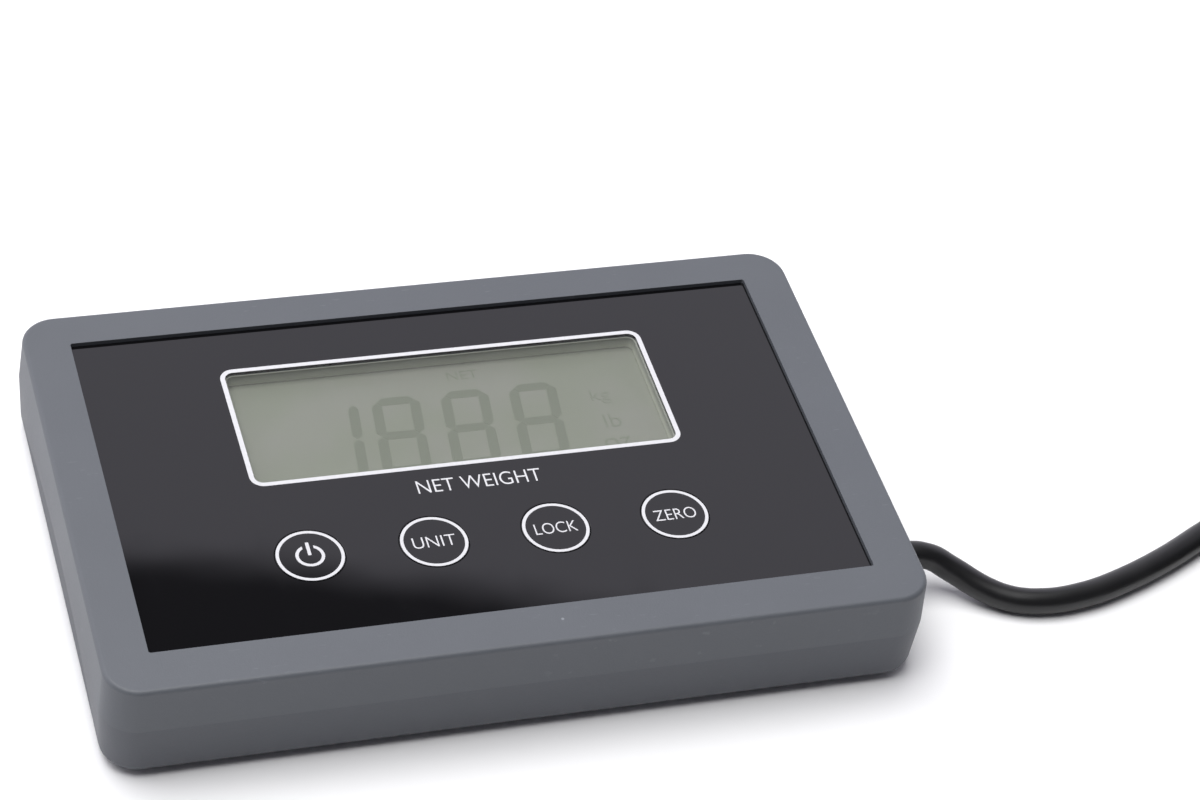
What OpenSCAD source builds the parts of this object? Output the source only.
// Wired display unit of a bench weighing scale.
// Origin: the middle of the housing's footprint, on the surface that its feet stand on.
// +X is to the right of somebody who reads the display, +Y away from them, +Z up.

/* [Housing] */
// Width of the housing at its parting line
body_w = 126; // [122:0.5:132]
// Depth of the housing at its parting line
body_d = 81; // [80:0.5:84]
// Height of the housing without its feet
body_h = 17.2; // [17.2:0.1:17.6]
// Height of the lower shell
lower_h = 9.4; // [9.4:0.1:9.8]
// Wall thickness of both shells
wall = 2; // [1.6:0.1:2.2]
// Corner radius of the housing seen from above
corner_r = 5.5; // [4:0.5:6]
// Height of the rubber feet below the housing
foot_h = 1; // [1:0.1:2]

/* [Front panel] */
// Width of the printed front panel
panel_w = 110.4; // [108:0.2:112]
// Depth of the printed front panel
panel_d = 66; // [64:0.2:67]
// Thickness of the panel sheet
panel_t = 0.6; // [0.5:0.1:0.7]
// How far the panel lies below the rim
panel_sink = 0.65; // [0.5:0.05:0.8]
// Width of the clear window
window_w = 66.8; // [64:0.2:67]
// Height of the clear window
window_d = 24.6; // [22:0.2:25]

/* [Keys] */
// Radius of each round key
key_r = 5.25; // [5:0.05:5.5]
// Distance from one key to the next
key_pitch = 18.9; // [18.5:0.05:19]
// How far a key travels when it is pressed
key_travel = 0.35; // [0.2:0.05:0.4]

/* [Battery bay] */
// Diameter of one cell
cell_d = 10.5; // [10:0.1:10.5]
// Length of one cell with its button
cell_l = 44.5; // [43.5:0.1:44.5]

/* [Cable] */
// Diameter of the cable's jacket
cable_d = 4.2; // [4:0.1:4.4]
// Radius of the coil's outermost turn, at the middle of the cable
coil_r_out = 33.5; // [33:0.5:34]
// Radius of the coil's innermost turn, at the middle of the cable
coil_r_in = 12.3; // [12:0.1:12.6]

/* [Hidden] */

eps = 0.01;
z_bottom = foot_h;
z_floor = z_bottom + wall;
z_split = z_bottom + lower_h;
z_rim = z_bottom + body_h;
z_panel = z_rim - panel_sink;
z_seat = z_panel - panel_t;
z_ceiling = z_seat - wall;
draft = 0.4;
rim_chamfer = 0.6;
base_chamfer = 1.8;

// Front panel, window and keys
panel_x = -0.2;
panel_y = 0.5;
window_x = 0.2;
window_y = 11.8;
key_x0 = -28.4;
key_y = -16.6;
key_gap = 0.1;
plunger_r = 2;

// Display module and circuit board
glass_w = 70;
glass_d = 29.4;
glass_y = 9.5;
glass_t = 2.4;
film_t = 0.2;
z_glass = z_ceiling - 0.05 - film_t - glass_t;
board_t = 1.6;
board_w = 85;
board_y0 = -27.5;
board_y1 = 25.2;
z_board = z_ceiling - 5.35;
board_post = [39.6, 22.5, -24.9];
board_post_r = 2.4;
switch_w = 6;
switch_h = 3.5;
stem_r = 1.6;
z_stem_top = z_board + 4.25;

// Housing posts
post_x = 55.5;
post_y = 33.5;
post_r = 3.3;

// Battery bay: two cells in a row along the back
bay_x = 47;
bay_y0 = 26.9;
cell_y = 32.7;
cell_z = z_bottom + 1.8 + cell_d/2;
bay_top = cell_z + cell_d/2 + 0.3;
door_x = 45.95;
door_y0 = 27.35;
door_y1 = 37.85;
door_t = 1.5;
door_gap = 0.25;
plate_t = 0.4;
cells_x0 = bay_x - plate_t - 2*cell_l;

// Finger scoop in the lower edge of the left side: deepest under its arched top edge
arch_r = 86.5;
arch_top = z_bottom + 7.7;
arch_depth = 1.3;

// Where the cable leaves the housing, and its route along the floor
exit_y = -20.9;
exit_z = 7;
relief_end_x = 66.5;
lead_path = [
    [66.5, -20.9, 7], [68.2, -21.0, 6.9], [69.8, -21.3, 6.55], [71.3, -21.7, 6],
    [73.0, -22.6, 5.1], [74.9, -23.7, 4.2], [76.9, -25.1, 3.3], [79.2, -26.7, 2.6],
    [81.8, -28.2, 2.2], [84.4, -29.2, 2.1], [87.0, -29.7, 2.1], [90.0, -29.9, 2.1],
    [93.5, -29.6, 2.1], [97.0, -29.0, 2.1], [101.2, -27.8, 2.1], [106.0, -26.1, 2.1],
    [111.2, -23.9, 2.1], [114.7, -22.2, 2.1], [118.4, -20.3, 2.1], [124.0, -17.7, 2.1],
    [129.5, -15.4, 2.15], [135.0, -13.4, 2.25], [140.5, -11.6, 2.4], [146.0, -9.96, 2.55]
];
tail_path = [
    [146.0, -9.96, 6.75], [149.0, -9.05, 6.75], [152.5, -7.98, 6.6],
    [156.5, -6.76, 6.2], [161.0, -5.38, 5.6], [165.1, -4.13, 5.3]
];
coil_x = 155.8;
coil_y = -42;
coil_z0 = 0.45;
coil_layers = 2;
coil_top = coil_z0 + coil_layers*cable_d;
tie_angle = -35;
tie_w = 5;
tie_t = 0.4;
plug_turn = 17;
plug_z = 5.3;
plug_body_r = 5.2;
plug_shell_r = 4.75;
plug_wall = 0.35;
plug_neck_r = plug_shell_r - plug_wall;

function unit(v) = v / norm(v);
function heading(path, i) = unit(path[min(i + 1, len(path) - 1)] - path[max(i - 1, 0)]);
function ring(p, u, v, r, n) = [for (k = [0:n - 1]) p + r*cos(360*k/n)*u + r*sin(360*k/n)*v];
function swept(path, r, n, ref) = [
    for (i = [0:len(path) - 1])
    let (t = heading(path, i), u = unit(cross(ref, t)), v = cross(t, u))
    each ring(path[i], u, v, r, n)
];
function key_x(i) = key_x0 + i*key_pitch;

// A tube of radius r with n sides along a path. No stretch of the path may run along ref.
module tube(path, r, n, ref = [0, 0, 1]) {
    last = (len(path) - 1)*n;
    sides = [
        for (i = [0:len(path) - 2], k = [0:n - 1])
        let (a = i*n + k, b = i*n + (k + 1)%n)
        each [[a, a + n, b + n], [a, b + n, b]]
    ];
    caps = [[for (k = [0:n - 1]) k], [for (k = [n - 1:-1:0]) last + k]];
    polyhedron(points = swept(path, r, n, ref), faces = concat(sides, caps));
}

// A flat outline with round corners
module rounded(w, d, r) {
    square([w - 2*r, d], center = true);
    square([w, d - 2*r], center = true);
    for (x = [-1, 1], y = [-1, 1])
        translate([x*(w/2 - r), y*(d/2 - r)]) circle(r, $fn = 32);
}

// A round-cornered slab from z0 to z1
module slab(w, d, r, z0, z1) {
    translate([0, 0, z0]) linear_extrude(z1 - z0) rounded(w, d, r);
}

// A box between two corners
module block(a, b) {
    translate(a) cube(b - a);
}

// A cylinder along +X from x0 to x1
module rod_x(x0, x1, y, z, r, r_end = -1) {
    translate([x0, y, z]) rotate([0, 90, 0])
        cylinder(r1 = r, r2 = r_end < 0 ? r : r_end, h = x1 - x0, $fn = 48);
}

// A cylinder along +Z from z0 to z1
module rod_z(x, y, z0, z1, r, r_end = -1) {
    translate([x, y, z0]) cylinder(r1 = r, r2 = r_end < 0 ? r : r_end, h = z1 - z0, $fn = 48);
}

module at_posts() {
    for (x = [-1, 1], y = [-1, 1]) translate([x*post_x, y*post_y, 0]) children();
}

module at_board_posts() {
    for (x = [-1, 1], y = [board_post[1], board_post[2]]) translate([x*board_post[0], y, 0]) children();
}

// ---------------------------------------------------------------- housing

module lower_outside() {
    hull() {
        slab(body_w, body_d, corner_r, z_split - eps, z_split);
        slab(body_w - 2*draft, body_d - 2*draft, corner_r, z_bottom + base_chamfer, z_bottom + base_chamfer + eps);
        slab(body_w - 2*draft - 2*base_chamfer, body_d - 2*draft - 2*base_chamfer, corner_r - base_chamfer,
            z_bottom, z_bottom + eps);
    }
}

module upper_outside() {
    hull() {
        slab(body_w, body_d, corner_r, z_split, z_split + eps);
        slab(body_w - 2*draft, body_d - 2*draft, corner_r, z_rim - rim_chamfer - eps, z_rim - rim_chamfer);
        slab(body_w - 2*draft - 2*rim_chamfer, body_d - 2*draft - 2*rim_chamfer, corner_r - rim_chamfer,
            z_rim - eps, z_rim);
    }
}

module rear_cover() {
    color("#585c63") difference() {
        union() {
            difference() {
                lower_outside();
                slab(body_w - 2*wall - 0.8, body_d - 2*wall, corner_r - wall, z_floor, z_split + 1);
            }
            at_posts() rod_z(0, 0, z_floor, z_split - 1, post_r);
            bay_walls();
            block([52, exit_y - 3, z_floor], [56, exit_y + 3, exit_z - 1]);
            for (y = [-4.8, 4.8]) rod_z(54, exit_y + y, z_floor, exit_z + 0.8, 1.8);
        }
        at_posts() {
            rod_z(0, 0, z_bottom - 1, z_split, 1.45);
            rod_z(0, 0, z_bottom - 1, z_bottom + 3, 2.9);
        }
        door_opening();
        rod_x(body_w/2 - wall - 2, body_w/2 + 1, exit_y, exit_z, 2.9);
        rod_x(51, 57, exit_y, exit_z, cable_d/2 + 0.02);
        for (y = [-4.8, 4.8]) rod_z(54, exit_y + y, z_floor + 1, exit_z + 2, 0.92);
        finger_scoop();
        at_feet() rod_z(0, 0, z_bottom - 1, z_bottom + 0.3, 4.6);
    }
}

module finger_scoop() {
    intersection() {
        rod_x(-body_w/2 - 1, -body_w/2 + wall, 0, arch_top - arch_r, arch_r);
        rotate([90, 0, 0]) linear_extrude(body_d, center = true) polygon([
            [-body_w/2 - 2, z_bottom - 1], [-body_w/2 + draft - 0.05, z_bottom - 1],
            [-body_w/2 + draft - 0.05, z_bottom + 1], [-body_w/2 + arch_depth, arch_top],
            [-body_w/2 + arch_depth, arch_top + 1], [-body_w/2 - 2, arch_top + 1]
        ]);
    }
}

module bay_walls() {
    difference() {
        union() {
            block([-bay_x - 1.4, bay_y0 - 1.3, z_floor - eps], [bay_x + 1.4, bay_y0, bay_top + 1.2]);
            block([-bay_x - 1.4, bay_y0 - 1.3, bay_top], [bay_x + 1.4, body_d/2 - wall - 0.2, bay_top + 1.2]);
            for (x = [-bay_x - 1.4, bay_x])
                block([x, bay_y0 - 1.3, z_floor - eps], [x + 1.4, body_d/2 - wall - 0.2, bay_top + 1.2]);
        }
        block([-bay_x - 2, cell_y - 1, bay_top - 1.8], [bay_x + 2, cell_y + 1, bay_top - 0.6]);
    }
}

module door_opening() {
    block([-door_x - door_gap, door_y0 - door_gap, z_bottom - 1],
        [door_x + door_gap, door_y1 + door_gap, z_floor + eps]);
    block([door_x, cell_y - 3, z_bottom - 1], [door_x + 3.2, cell_y + 3, z_bottom + 1.1]);
}

module front_cover() {
    color("#787d86") difference() {
        union() {
            difference() {
                upper_outside();
                slab(body_w - 2*wall - 0.8, body_d - 2*wall, corner_r - wall, z_split - 1, z_ceiling);
            }
            lip();
            at_posts() rod_z(0, 0, z_split - 1, z_ceiling + eps, post_r);
            at_board_posts() rod_z(0, 0, z_board, z_ceiling + eps, board_post_r);
        }
        translate([panel_x, panel_y]) slab(panel_w + 0.2, panel_d + 0.2, 0.4, z_seat, z_rim + 1);
        translate([window_x, window_y]) slab(window_w, window_d, 1.4, z_ceiling - 1, z_rim);
        for (i = [0:3]) {
            rod_z(key_x(i), key_y, z_seat - 0.6, z_rim, key_r + 0.35);
            rod_z(key_x(i), key_y, z_ceiling - 1, z_rim, plunger_r + 0.1);
        }
        at_posts() rod_z(0, 0, z_split - 2, z_ceiling, 1.32);
        at_board_posts() rod_z(0, 0, z_board - 1, z_ceiling - 0.4, 0.92);
    }
}

// Tongue of the front cover that reaches down inside the rear cover's wall
module lip() {
    lip_w = body_w - 2*wall - 1;
    lip_d = body_d - 2*wall - 0.2;
    difference() {
        union() {
            slab(lip_w, lip_d, corner_r - wall, z_split - 1.2, z_split + 1);
            slab(lip_w + 0.4, lip_d + 0.4, corner_r - wall, z_split, z_split + 1);
        }
        slab(lip_w - 1.6, lip_d - 1.6, corner_r - wall - 0.8, z_split - 2, z_split + 2);
        block([-bay_x - 2, bay_y0, z_split - 2], [bay_x + 2, body_d/2, z_split + 2]);
        block([body_w/2 - 2*wall, exit_y - 6, z_split - 2], [body_w/2, exit_y + 6, z_split]);
    }
}

module battery_door() {
    color("#585c63") {
        block([-door_x, door_y0, z_bottom], [door_x, door_y1, z_bottom + door_t]);
        for (y = [door_y0 + 1.4, door_y1 - 4.4]) {
            block([-door_x, y, z_bottom + door_t - eps], [-door_x + 1.2, y + 3, z_floor + 0.75]);
            block([-door_x - 0.9, y, z_floor + 0.1], [-door_x + eps, y + 3, z_floor + 0.75]);
        }
        block([door_x - eps, cell_y - 2.6, z_bottom], [door_x + 2.6, cell_y + 2.6, z_bottom + 0.8]);
    }
}

module housing_screws() {
    color("silver") at_posts() difference() {
        union() {
            rod_z(0, 0, z_bottom + 1.2, z_bottom + 3, 2.6);
            rod_z(0, 0, z_bottom + 3 - eps, z_ceiling - 0.8, 1.3);
        }
        for (a = [0, 90]) rotate(a) translate([-1.6, -0.3, z_bottom]) cube([3.2, 0.6, 2.2]);
    }
}

module at_feet() {
    for (x = [-1, 1]) {
        translate([x*44, -31.5, 0]) children();
        translate([x*54.5, 20, 0]) children();
    }
}

module rubber_feet() {
    color("#26282b") at_feet() {
        rod_z(0, 0, 0.3, z_bottom + 0.3, 4.5);
        rod_z(0, 0, 0, 0.3 + eps, 4.2, 4.5);
    }
}

// ---------------------------------------------------------------- panel and keys

module front_panel() {
    color("#1c1d21") difference() {
        translate([panel_x, panel_y]) slab(panel_w, panel_d, 0.3, z_seat, z_panel);
        translate([window_x, window_y]) slab(window_w, window_d, 1.4, z_seat - 1, z_panel + 1);
        for (i = [0:3]) rod_z(key_x(i), key_y, z_seat - 1, z_panel + 1, key_r + key_gap);
    }
}

module window() {
    color("#c8ccc4") translate([window_x, window_y]) slab(window_w - 0.1, window_d - 0.1, 1.35, z_seat, z_panel);
}

module key(i) {
    color("#1c1d21") {
        rod_z(key_x(i), key_y, z_seat, z_panel, key_r);
        rod_z(key_x(i), key_y, z_stem_top, z_seat + eps, plunger_r);
    }
}

module stem(i) {
    color("#e8e4da") rod_z(key_x(i), key_y, z_board + 2.8, z_stem_top, stem_r);
}

module switch_case(i) {
    color("#2b2c30") translate([key_x(i), key_y, 0]) difference() {
        block([-switch_w/2, -switch_w/2, z_board], [switch_w/2, switch_w/2, z_board + switch_h]);
        rod_z(0, 0, z_board + 2.8 - key_travel - 0.25, z_board + switch_h + 1, stem_r + 0.1);
    }
}

module key_power() { key(0); }
module key_unit() { key(1); }
module key_lock() { key(2); }
module key_zero() { key(3); }
module stem_power() { stem(0); }
module stem_unit() { stem(1); }
module stem_lock() { stem(2); }
module stem_zero() { stem(3); }
module switch_power() { switch_case(0); }
module switch_unit() { switch_case(1); }
module switch_lock() { switch_case(2); }
module switch_zero() { switch_case(3); }

// ---------------------------------------------------------------- display module

module lcd_glass() {
    color("#9fa595") block([-glass_w/2, glass_y - glass_d/2, z_glass],
        [glass_w/2, glass_y + glass_d/2, z_glass + glass_t]);
}

module lcd_polarizer() {
    color("#9a9f8e") block([-glass_w/2 + 0.8, -2.2, z_glass + glass_t],
        [glass_w/2 - 0.8, glass_y + glass_d/2 - 0.1, z_glass + glass_t + film_t]);
}

module lcd_reflector() {
    color("#b9bdb0") block([-33.2, -1.4, z_glass - film_t], [33.2, 22.6, z_glass]);
}

module lcd_frame() {
    color("#e4e2dc") difference() {
        block([-36.6, -6.6, z_board], [36.6, 25.4, z_ceiling - 0.05]);
        block([-glass_w/2 - 0.1, glass_y - glass_d/2 - 0.1, z_glass],
            [glass_w/2 + 0.1, glass_y + glass_d/2 + 0.1, z_ceiling]);
        block([-33.4, -1.6, z_board - 1], [33.4, 22.8, z_glass + 1]);
        block([-33.4, -4.9, z_board - 1], [33.4, -2.3, z_glass + 1]);
    }
}

module contact_strip() {
    color("#d88a9a") block([-33.2, -4.8, z_board], [33.2, -2.4, z_glass]);
}

// ---------------------------------------------------------------- circuit board

module circuit_board() {
    color("#2e6b3c") difference() {
        block([-board_w/2, board_y0, z_board - board_t], [board_w/2, board_y1, z_board]);
        at_board_posts() rod_z(0, 0, z_board - 3, z_board + 1, 1.2);
    }
}

module board_screws() {
    color("silver") at_board_posts() {
        rod_z(0, 0, z_board - board_t - 1.2, z_board - board_t, 1.9);
        rod_z(0, 0, z_board - board_t - eps, z_board + 4, 0.9);
    }
}

// Something soldered under the board: half width, half depth and height about a middle
module under_board(x, y, half_x, half_y, h) {
    block([x - half_x, y - half_y, z_board - board_t - h], [x + half_x, y + half_y, z_board - board_t]);
}

module controller_chip() {
    color("#202124") {
        under_board(0, 4, 5, 5, 1.5);
        for (i = [-4:4], s = [-1, 1]) {
            under_board(i, 4 + s*5.7, 0.2, 0.75, 0.25);
            under_board(s*5.7, 4 + i, 0.75, 0.2, 0.25);
        }
    }
}

module converter_chip() {
    color("#202124") {
        under_board(22, -10, 5, 2, 1.6);
        for (i = [0:7], s = [-1, 1]) under_board(22 - 4.4 + i*1.27, -10 + s*2.6, 0.2, 0.65, 0.3);
    }
}

module crystal() {
    color("silver") translate([-14, 6, z_board - board_t - 3.4]) linear_extrude(3.4) rounded(10.6, 4.2, 2);
}

module capacitors() {
    color("#2c3350") for (x = [-6, 8]) rod_z(x, -14, z_board - board_t - 4.6, z_board - board_t, 2.5);
}

module buzzer() {
    color("#1d1d1f") difference() {
        rod_z(-26, -8, z_board - board_t - 4.4, z_board - board_t, 6.4);
        rod_z(-26, -8, z_board - board_t - 5, z_board - board_t - 2.4, 1);
    }
}

module wire_header() {
    color("#efe9d8") difference() {
        block([28.5, exit_y - 5.5, z_board - board_t - 4.6], [33.5, exit_y + 5.5, z_board - board_t]);
        block([30.5, exit_y - 4.7, z_board - board_t - 3.9], [34, exit_y + 4.7, z_board - board_t - 0.8]);
    }
}

module wire_plug() {
    color("#f4f1e6") block([30.6, exit_y - 4.6, z_board - board_t - 3.8],
        [37, exit_y + 4.6, z_board - board_t - 0.9]);
}

module signal_wires() {
    z_plug = z_board - board_t - 2.35;
    colours = ["#b3262a", "#1c1c1e", "#e8e6e0", "#2d7d46"];
    for (i = [0:3]) {
        y1 = exit_y - 3.45 + 2.3*i;
        y0 = exit_y - 0.99 + 0.66*i;
        color(colours[i]) tube([
            [50, y0, exit_z], [48.6, y0*0.8 + y1*0.2, exit_z], [47, (y0 + y1)/2, exit_z - 0.4],
            [45, y0*0.2 + y1*0.8, z_plug + 0.2], [42.5, y1, z_plug], [37, y1, z_plug]
        ], 0.32, 8);
    }
}

// ---------------------------------------------------------------- batteries

module cell(x0) {
    color("#3c6e8f") {
        rod_x(x0, x0 + cell_l - 0.8, cell_y, cell_z, cell_d/2);
        rod_x(x0 + cell_l - 0.8 - eps, x0 + cell_l, cell_y, cell_z, 1.9);
    }
}

module cell_left() { cell(cells_x0); }
module cell_right() { cell(cells_x0 + cell_l); }

module contact_spring() {
    turns = 3.5;
    x0 = -bay_x + plate_t;
    wire_r = 0.3;
    length = cells_x0 - x0 - 2*wire_r;
    steps = 42;
    color("silver") tube([
        for (k = [0:steps]) let (a = 360*turns*k/steps, r = 3 - 0.9*k/steps)
        [x0 + wire_r + length*k/steps, cell_y + r*cos(a), cell_z + r*sin(a)]
    ], wire_r, 6, [1, 0, 0]);
}

// A contact plate with the lug that its wire is soldered to; s is the side it stands on
module contact_plate(s) {
    x = s*bay_x;
    lug = [s*(bay_x - plate_t/2), s*(bay_x + 3)];
    color("silver") {
        block([min(x, x - s*plate_t), cell_y - 5, z_floor + 1.1], [max(x, x - s*plate_t), cell_y + 5, bay_top - 0.2]);
        block([min(lug), cell_y - 0.8, bay_top - 1.3], [max(lug), cell_y + 0.8, bay_top - 0.9]);
    }
}

module spring_plate() { contact_plate(-1); }
module button_plate() { contact_plate(1); }

module battery_leads() {
    z_lug = bay_top - 1.3 - 0.45;
    for (s = [-1, 1]) color(s < 0 ? "#1c1c1e" : "#b3262a") tube([
        [s*(bay_x + 2.3), cell_y - 1.5, z_lug], [s*(bay_x + 2.4), cell_y - 4, z_lug - 0.2],
        [s*(bay_x + 1.8), cell_y - 7.5, z_lug - 0.6], [s*(bay_x - 0.5), cell_y - 11, z_lug - 0.9],
        [s*(bay_x - 3.5), cell_y - 13.5, z_lug - 0.9], [s*(board_w/2), cell_y - 14.6, z_board + 0.5],
        [s*(board_w/2 - 2.5), cell_y - 15, z_board + 0.45]
    ], 0.45, 8);
}

// ---------------------------------------------------------------- cable

module strain_relief() {
    color("#1b1c1f") difference() {
        union() {
            rod_x(body_w/2 - wall - 1.9, body_w/2 - wall - 0.4, exit_y, exit_z, 3.35);
            rod_x(body_w/2 - wall - 0.41, body_w/2, exit_y, exit_z, 2.85);
            rod_x(body_w/2 - eps, relief_end_x, exit_y, exit_z, 2.85, 2.4);
        }
        rod_x(body_w/2 - wall - 3, 62.5, exit_y, exit_z, cable_d/2);
    }
}

module cable_stub() {
    color("#141518") rod_x(50, 62.5, exit_y, exit_z, cable_d/2);
}

module cable_clamp() {
    color("#e4e2dc") difference() {
        block([52, exit_y - 6.6, exit_z + 0.8], [56, exit_y + 6.6, exit_z + 3.1]);
        rod_x(51, 57, exit_y, exit_z, cable_d/2 + 0.02);
        for (y = [-4.8, 4.8]) rod_z(54, exit_y + y, exit_z, exit_z + 5, 1.05);
    }
}

module clamp_screws() {
    color("silver") for (y = [-4.8, 4.8]) {
        rod_z(54, exit_y + y, exit_z + 3.1, exit_z + 4.1, 1.7);
        rod_z(54, exit_y + y, exit_z - 2, exit_z + 3.1 + eps, 0.9);
    }
}

module cord_lead() {
    color("#141518") tube(lead_path, cable_d/2, 10);
}

module cord_tail() {
    color("#141518") tube(tail_path, cable_d/2, 10);
}

// The outer shape of all the coil's turns as one ring
module cord_coil() {
    r0 = coil_r_in - cable_d/2;
    r1 = coil_r_out + cable_d/2;
    color("#141518") translate([coil_x, coil_y, 0]) rotate_extrude($fn = 96)
        translate([(r0 + r1)/2, (coil_z0 + coil_top)/2]) rounded(r1 - r0, coil_top - coil_z0, 1.6);
}

module coil_tie() {
    r0 = sqrt(pow(coil_r_in - cable_d/2, 2) - pow(tie_w/2, 2)) - 0.05;
    r1 = coil_r_out + cable_d/2 + 0.1;
    color("#1f2023") translate([coil_x, coil_y, 0]) rotate([0, 0, tie_angle]) difference() {
        block([r0 - tie_t, -tie_w/2, coil_z0 - 0.05 - tie_t], [r1 + tie_t, tie_w/2, coil_top + 0.05 + tie_t]);
        block([r0, -tie_w, coil_z0 - 0.05], [r1, tie_w, coil_top + 0.05]);
    }
}

// Puts a piece drawn along +X from the origin at the plug's place
module at_plug() {
    end = tail_path[len(tail_path) - 1];
    translate([end[0], end[1], plug_z]) rotate([0, 0, plug_turn]) children();
}

module plug_body() {
    color("#17181b") at_plug() difference() {
        union() {
            rod_x(0, 9, 0, 0, 2.5, 3.6);
            rod_x(9 - eps, 11, 0, 0, 3.6, plug_body_r);
            rod_x(11 - eps, 24, 0, 0, plug_body_r);
        }
        for (x = [13, 15.5, 18, 20.5]) translate([x, 0, 0]) rotate([0, 90, 0]) difference() {
            cylinder(r = plug_body_r + 1, h = 0.9, $fn = 48);
            cylinder(r = plug_body_r - 0.3, h = 0.9, $fn = 48);
        }
        rod_x(20, 25, 0, 0, plug_neck_r);
    }
}

module plug_shell() {
    color("silver") at_plug() difference() {
        union() {
            rod_x(20, 25, 0, 0, plug_neck_r);
            rod_x(24.2, 32.2, 0, 0, plug_shell_r);
        }
        rod_x(19, 25, 0, 0, plug_neck_r - plug_wall);
        rod_x(24.6, 33, 0, 0, plug_shell_r - plug_wall);
    }
}

module plug_insert() {
    color("#26272a") at_plug() difference() {
        union() {
            rod_x(20, 25, 0, 0, plug_neck_r - plug_wall);
            rod_x(24.6, 26, 0, 0, plug_shell_r - plug_wall);
        }
        at_pins() rod_x(21, 27, 0, 0, 0.4);
    }
}

module at_pins() {
    for (a = [45:60:345]) translate([0, 2.6*cos(a), 2.6*sin(a)]) children();
}

module plug_pins() {
    color("#c9a24a") at_plug() at_pins() rod_x(21, 30.5, 0, 0, 0.4);
}

rear_cover();
front_cover();
front_panel();
window();
key_power();
key_unit();
key_lock();
key_zero();
stem_power();
stem_unit();
stem_lock();
stem_zero();
switch_power();
switch_unit();
switch_lock();
switch_zero();
lcd_glass();
lcd_polarizer();
lcd_reflector();
lcd_frame();
contact_strip();
circuit_board();
board_screws();
controller_chip();
converter_chip();
crystal();
capacitors();
buzzer();
wire_header();
wire_plug();
signal_wires();
cell_left();
cell_right();
contact_spring();
spring_plate();
button_plate();
battery_leads();
battery_door();
housing_screws();
rubber_feet();
strain_relief();
cable_stub();
cable_clamp();
clamp_screws();
cord_lead();
cord_coil();
coil_tie();
cord_tail();
plug_body();
plug_shell();
plug_insert();
plug_pins();
